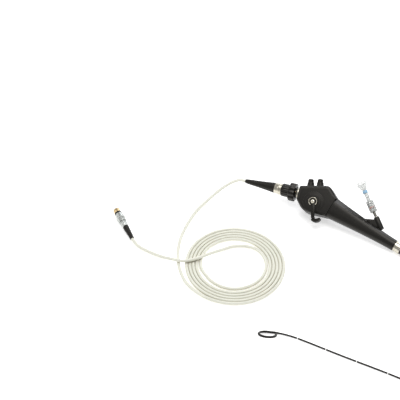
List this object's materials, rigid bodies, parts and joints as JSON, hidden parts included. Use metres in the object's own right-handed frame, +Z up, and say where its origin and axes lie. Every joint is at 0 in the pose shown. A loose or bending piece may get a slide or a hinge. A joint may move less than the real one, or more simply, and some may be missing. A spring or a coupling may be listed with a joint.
{
  "type": "flexible endoscope",
  "caption": "Slim flexible endoscope with thumb lever, push buttons, side port with clear funnel adaptor, curled bending tip, and a coiled white camera cable with a round plug.",
  "frame": {"origin": "on the table under the middle of the handle with its adaptor and cable boot", "axes": "+X along the handle from the cable boot to the insertion tube, +Z up; the coil and the curled tip lie towards -Y"},
  "size_m": [0.6636, 0.3539, 0.0674],
  "materials": {
    "black_shell": "satin",
    "black_rubber": "matt",
    "black_knob": "smooth",
    "silver": "bright",
    "steel": "turned",
    "brass": "satin",
    "board_green": "lacquered board",
    "clear_plastic": "clear",
    "seal_blue": "smooth",
    "seal_red": "smooth",
    "ivory_jacket": "smooth cable jacket",
    "tube_grey": "smooth",
    "lens_glass": "polished"
  },
  "bodies": {
    "handle": {"adaptor_funnel": "clear_plastic", "adaptor_stem": "clear_plastic", "bend_base": "steel", "bend_protector": "black_rubber", "bending_cover": "black_rubber", "body_collar": "silver", "button_guide_1": "black_rubber", "button_guide_2": "black_rubber", "cable_boot": "black_rubber", "cable_coil": "ivory_jacket", "cable_collar": "black_rubber", "cable_ferrule": "silver", "cable_lead_handle": "ivory_jacket", "cable_lead_plug": "ivory_jacket", "chassis": "steel", "control_shell_far": "black_shell", "control_shell_near": "black_shell", "distal_ferrule": "silver", "grip_shell": "black_shell", "index_pin": "brass", "inner_tube": "steel", "insertion_tube": "tube_grey", "o_ring": "seal_red", "plug_barrel": "steel", "plug_contacts": "brass", "plug_nut": "steel", "plug_relief": "black_rubber", "plug_seal": "black_rubber", "port_fitting": "steel", "seal_band": "seal_blue", "shaft_bush": "brass", "shell_screw_1": "steel", "shell_screw_2": "steel", "shell_screw_3": "steel", "socket_neck": "black_knob", "switch_board": "board_green"},
    "lever": {"lever_shaft": "steel", "wire_pulley": "steel", "lever_arm": "black_knob", "thumb_pad": "black_rubber", "hub_ring": "silver", "hub_cap": "silver"},
    "coupling": {"coupling_ring": "black_knob"},
    "adaptor_nut": {"adaptor_collar": "clear_plastic"},
    "button_1": {"button_cap_1": "black_knob"},
    "button_2": {"button_cap_2": "black_knob"},
    "sleeve": {"plug_sleeve": "steel"},
    "bend_link_01": {"link_01": "steel"},
    "bend_link_02": {"link_02": "steel"},
    "bend_link_03": {"link_03": "steel"},
    "bend_link_04": {"link_04": "steel"},
    "bend_link_05": {"link_05": "steel"},
    "bend_link_06": {"link_06": "steel"},
    "bend_link_07": {"link_07": "steel"},
    "bend_link_08": {"link_08": "steel"},
    "bend_link_09": {"link_09": "steel"},
    "tip": {"distal_tip": "steel", "tip_lens": "lens_glass"}
  },
  "joints": [
    {"name": "lever_turn", "type": "hinge", "parent": "handle", "child": "lever", "pos_m": [-0.0408, -0.0166, 0.02291], "axis": [-0.1123, 0.5837, -0.8041], "range_deg": [0, 75]},
    {"name": "coupling_turn", "type": "hinge", "parent": "handle", "child": "coupling", "pos_m": [-0.08656, -0.02029, 0.02662], "axis": [-0.9573, -0.2806, -0.07], "range_deg": [0, 60]},
    {"name": "adaptor_turn", "type": "hinge", "parent": "handle", "child": "adaptor_nut", "pos_m": [0.05112, 0.02078, 0.03721], "axis": [-0.7952, 0.4325, 0.425], "continuous": true},
    {"name": "button_1_press", "type": "slide", "parent": "handle", "child": "button_1", "axis": [0.4651, -0.6843, -0.5617], "range_m": [0, 0.0015], "stiffness_N_per_m": 400},
    {"name": "button_2_press", "type": "slide", "parent": "handle", "child": "button_2", "axis": [0.4651, -0.6843, -0.5617], "range_m": [0, 0.0015], "stiffness_N_per_m": 400},
    {"name": "sleeve_slide", "type": "slide", "parent": "handle", "child": "sleeve", "axis": [0.9016, -0.4215, -0.0968], "range_m": [0, 0.0016], "stiffness_N_per_m": 500},
    {"name": "bend_01", "type": "hinge", "parent": "handle", "child": "bend_link_01", "pos_m": [0.0498, -0.2808, 0.002], "axis": [0.2872, -0.4798, -0.829], "range_deg": [0, 45], "deforming": ["bending_cover"]},
    {"name": "bend_02", "type": "hinge", "parent": "bend_link_01", "child": "bend_link_02", "pos_m": [0.04612, -0.28583, 0.00364], "axis": [0.2872, -0.4798, -0.829], "range_deg": [0, 45], "deforming": ["bending_cover"]},
    {"name": "bend_03", "type": "hinge", "parent": "bend_link_02", "child": "bend_link_03", "pos_m": [0.04508, -0.29149, 0.00656], "axis": [0.2872, -0.4798, -0.829], "range_deg": [0, 45], "deforming": ["bending_cover"]},
    {"name": "bend_04", "type": "hinge", "parent": "bend_link_03", "child": "bend_link_04", "pos_m": [0.04693, -0.29654, 0.01012], "axis": [0.2872, -0.4798, -0.829], "range_deg": [0, 45], "deforming": ["bending_cover"]},
    {"name": "bend_05", "type": "hinge", "parent": "bend_link_04", "child": "bend_link_05", "pos_m": [0.05125, -0.29988, 0.01355], "axis": [0.2872, -0.4798, -0.829], "range_deg": [0, 45], "deforming": ["bending_cover"]},
    {"name": "bend_06", "type": "hinge", "parent": "bend_link_05", "child": "bend_link_06", "pos_m": [0.05711, -0.30079, 0.0161], "axis": [0.2872, -0.4798, -0.829], "range_deg": [0, 45], "deforming": ["bending_cover"]},
    {"name": "bend_07", "type": "hinge", "parent": "bend_link_06", "child": "bend_link_07", "pos_m": [0.06322, -0.29905, 0.01721], "axis": [0.2872, -0.4798, -0.829], "range_deg": [0, 45], "deforming": ["bending_cover"]},
    {"name": "bend_08", "type": "hinge", "parent": "bend_link_07", "child": "bend_link_08", "pos_m": [0.06826, -0.29506, 0.01665], "axis": [0.2872, -0.4798, -0.829], "range_deg": [0, 45], "deforming": ["bending_cover"]},
    {"name": "bend_09", "type": "hinge", "parent": "bend_link_08", "child": "bend_link_09", "pos_m": [0.07112, -0.28969, 0.01453], "axis": [0.2872, -0.4798, -0.829], "range_deg": [0, 45], "deforming": ["bending_cover"]},
    {"name": "bend_10", "type": "hinge", "parent": "bend_link_09", "child": "tip", "pos_m": [0.07119, -0.28409, 0.01132], "axis": [0.2872, -0.4798, -0.829], "range_deg": [0, 45], "deforming": ["bending_cover"]}
  ],
  "couplings": [
    {"joint": "bend_01", "follows": "lever_turn", "ratio": 0.6},
    {"joint": "bend_02", "follows": "lever_turn", "ratio": 0.6},
    {"joint": "bend_03", "follows": "lever_turn", "ratio": 0.6},
    {"joint": "bend_04", "follows": "lever_turn", "ratio": 0.6},
    {"joint": "bend_05", "follows": "lever_turn", "ratio": 0.6},
    {"joint": "bend_06", "follows": "lever_turn", "ratio": 0.6},
    {"joint": "bend_07", "follows": "lever_turn", "ratio": 0.6},
    {"joint": "bend_08", "follows": "lever_turn", "ratio": 0.6},
    {"joint": "bend_09", "follows": "lever_turn", "ratio": 0.6},
    {"joint": "bend_10", "follows": "lever_turn", "ratio": 0.6}
  ]
}
